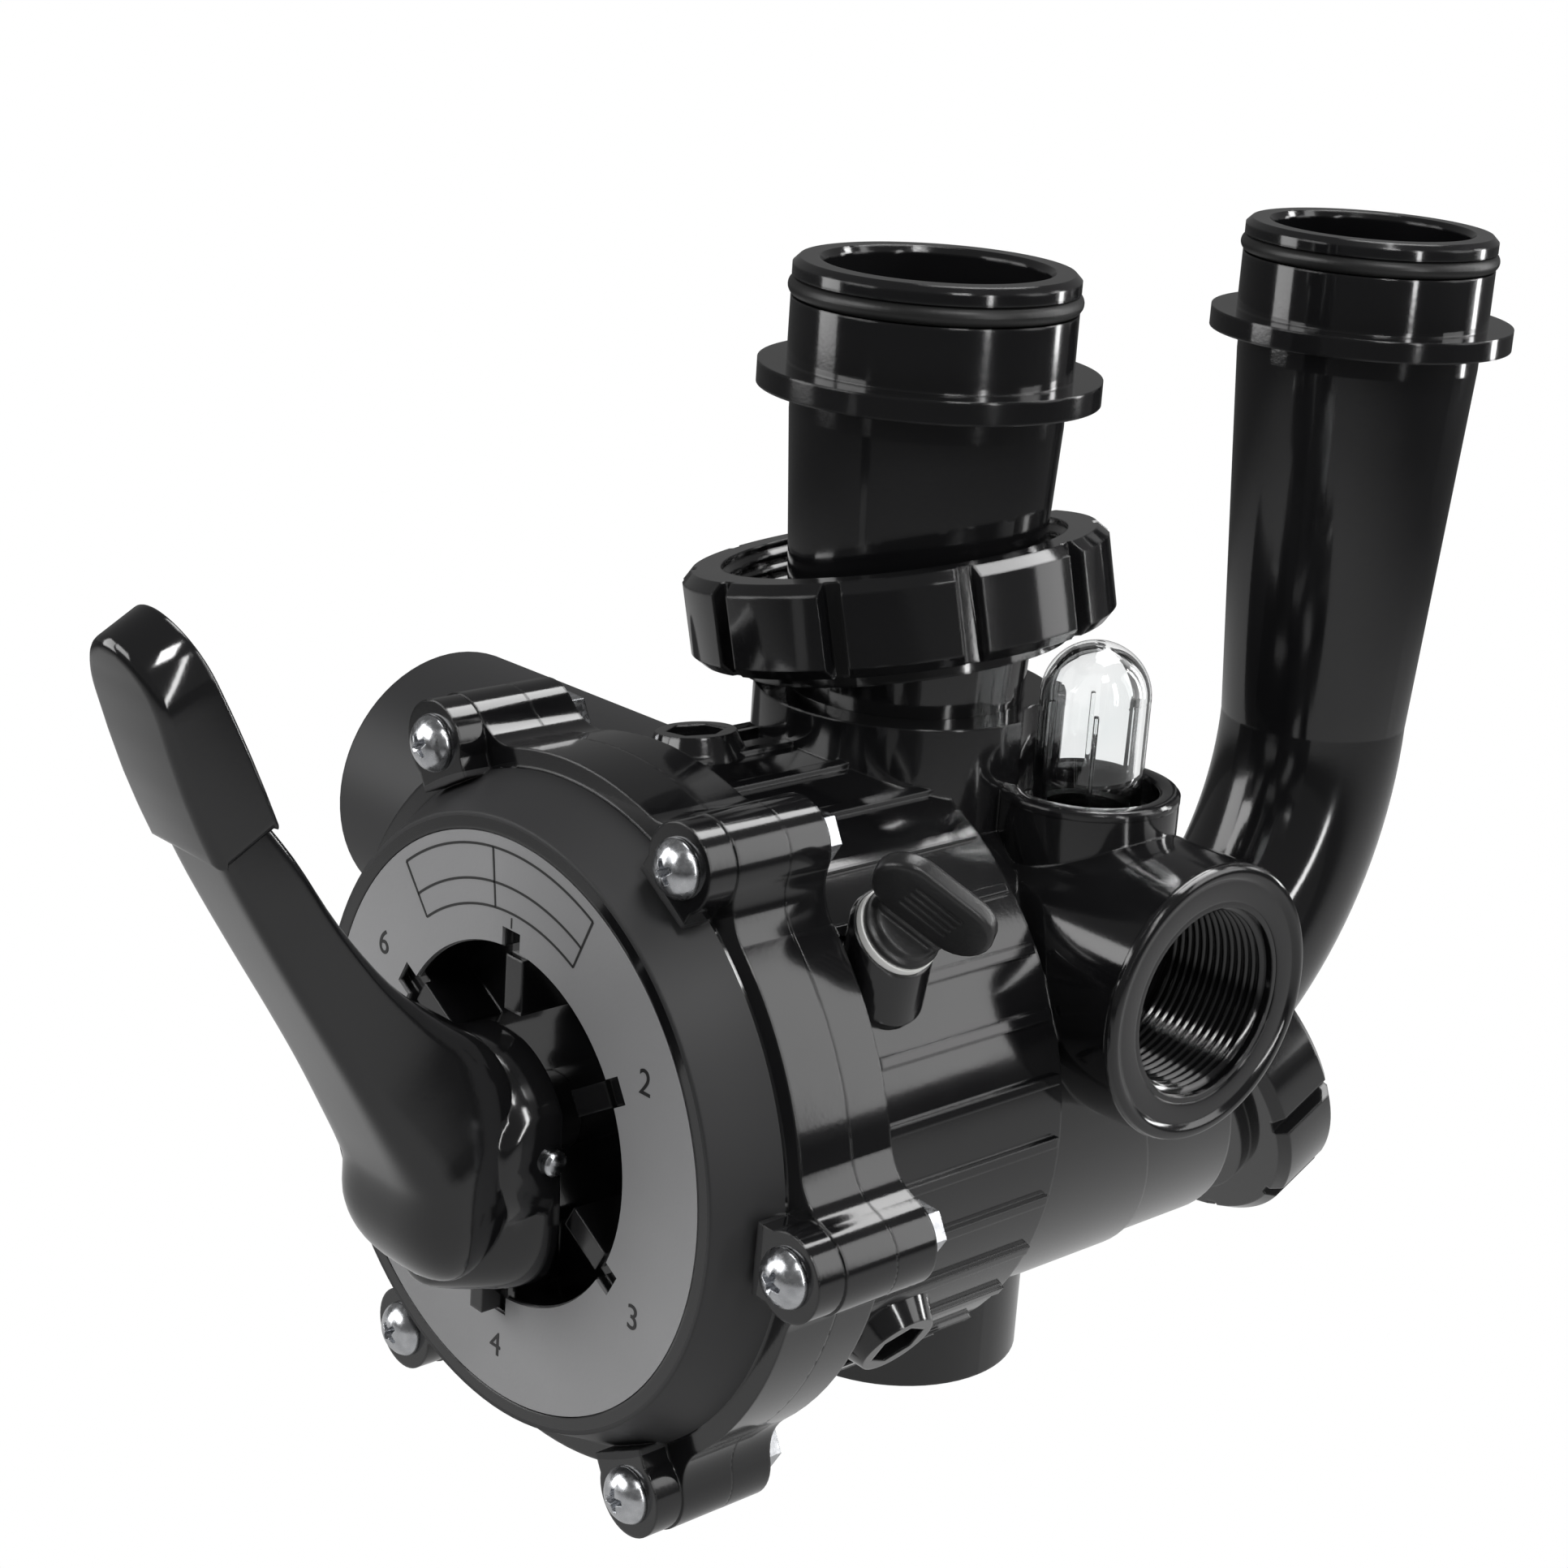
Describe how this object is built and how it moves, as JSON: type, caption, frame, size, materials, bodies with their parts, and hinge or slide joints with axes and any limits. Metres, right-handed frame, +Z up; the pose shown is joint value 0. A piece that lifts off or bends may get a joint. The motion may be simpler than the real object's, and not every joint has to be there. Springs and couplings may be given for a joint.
{
  "type": "multiport valve",
  "caption": "Side-mount six-position filter valve with lever handle, dial, waste port with sight glass, drain plug and two O-ring connectors with union nuts.",
  "frame": {"origin": "centre of the bottom port's mouth, on the ground plane", "axes": "+X out of the waste port, +Z up, -Y towards the dial and handle"},
  "size_m": [0.291, 0.4245, 0.277],
  "materials": {
    "gloss_black": "gloss",
    "satin_black": "satin",
    "dial_grey": "satin",
    "black_rubber": "matte",
    "steel": "polished",
    "clear_plastic": "clear",
    "white_seal": "matte"
  },
  "bodies": {
    "housing": {"valve_body": "gloss_black", "cover": "gloss_black", "cover_o_ring": "black_rubber", "dial_plate": "dial_grey", "flange_screws": "steel", "flange_nuts": "steel", "spider_gasket": "black_rubber", "short_connector": "gloss_black", "short_connector_o_ring": "black_rubber", "elbow_connector": "gloss_black", "elbow_o_ring": "black_rubber"},
    "selector": {"spring_washer": "steel", "key_spring": "steel"},
    "key": {"rotor_key": "satin_black", "stem_o_rings": "black_rubber", "handle_pin": "steel"},
    "lever": {"handle": "gloss_black", "handle_grip": "gloss_black"},
    "plug_washer": {"plug_ring": "white_seal"},
    "plug": {"wing_plug": "satin_black"},
    "glass_washer": {"sight_glass_gasket": "black_rubber"},
    "glass": {"sight_glass": "clear_plastic"},
    "upper_nut": {"upper_union_nut": "gloss_black"},
    "lower_nut": {"lower_union_nut": "gloss_black"}
  },
  "joints": [
    {"name": "selector_turn", "type": "hinge", "parent": "housing", "child": "selector", "pos_m": [0, -0.129, 0.09], "axis": [0, -1, 0], "continuous": true},
    {"name": "handle_press", "type": "hinge", "parent": "key", "child": "lever", "pos_m": [0, -0.132, 0.09], "axis": [-1, 0, 0], "range_deg": [0, 12]},
    {"name": "key_lift", "type": "slide", "parent": "selector", "child": "key", "axis": [0, -1, 0], "range_m": [0, 0.0048], "deforming": ["key_spring"]},
    {"name": "plug_turn", "type": "hinge", "parent": "housing", "child": "plug_washer", "pos_m": [0.06491, -0.075, 0.14642], "axis": [0.7431, 0, 0.6691], "range_deg": [0, 2160]},
    {"name": "plug_unscrew", "type": "slide", "parent": "plug_washer", "child": "plug", "axis": [0.7431, 0, 0.6691], "range_m": [0, 0.012]},
    {"name": "glass_turn", "type": "hinge", "parent": "housing", "child": "glass_washer", "pos_m": [0.045, 0.005, 0.09], "axis": [0, 0, 1], "range_deg": [0, 60]},
    {"name": "glass_unscrew", "type": "slide", "parent": "glass_washer", "child": "glass", "axis": [0, 0, 1], "range_m": [0, 0.0005]},
    {"name": "upper_nut_spin", "type": "hinge", "parent": "housing", "child": "upper_nut", "pos_m": [-0.00328, -0.01419, 0.19866], "axis": [-0.1954, -0.0711, 0.9781], "continuous": true},
    {"name": "lower_nut_spin", "type": "hinge", "parent": "housing", "child": "lower_nut", "pos_m": [-0.006, 0.10639, 0.05203], "axis": [0, 0.8988, 0.4384], "continuous": true}
  ],
  "couplings": [
    {"joint": "key_lift", "follows": "handle_press", "m_per_rad": 0.0229},
    {"joint": "plug_unscrew", "follows": "plug_turn", "m_per_rad": 0.00031831},
    {"joint": "glass_unscrew", "follows": "glass_turn", "m_per_rad": 0.00047746}
  ]
}
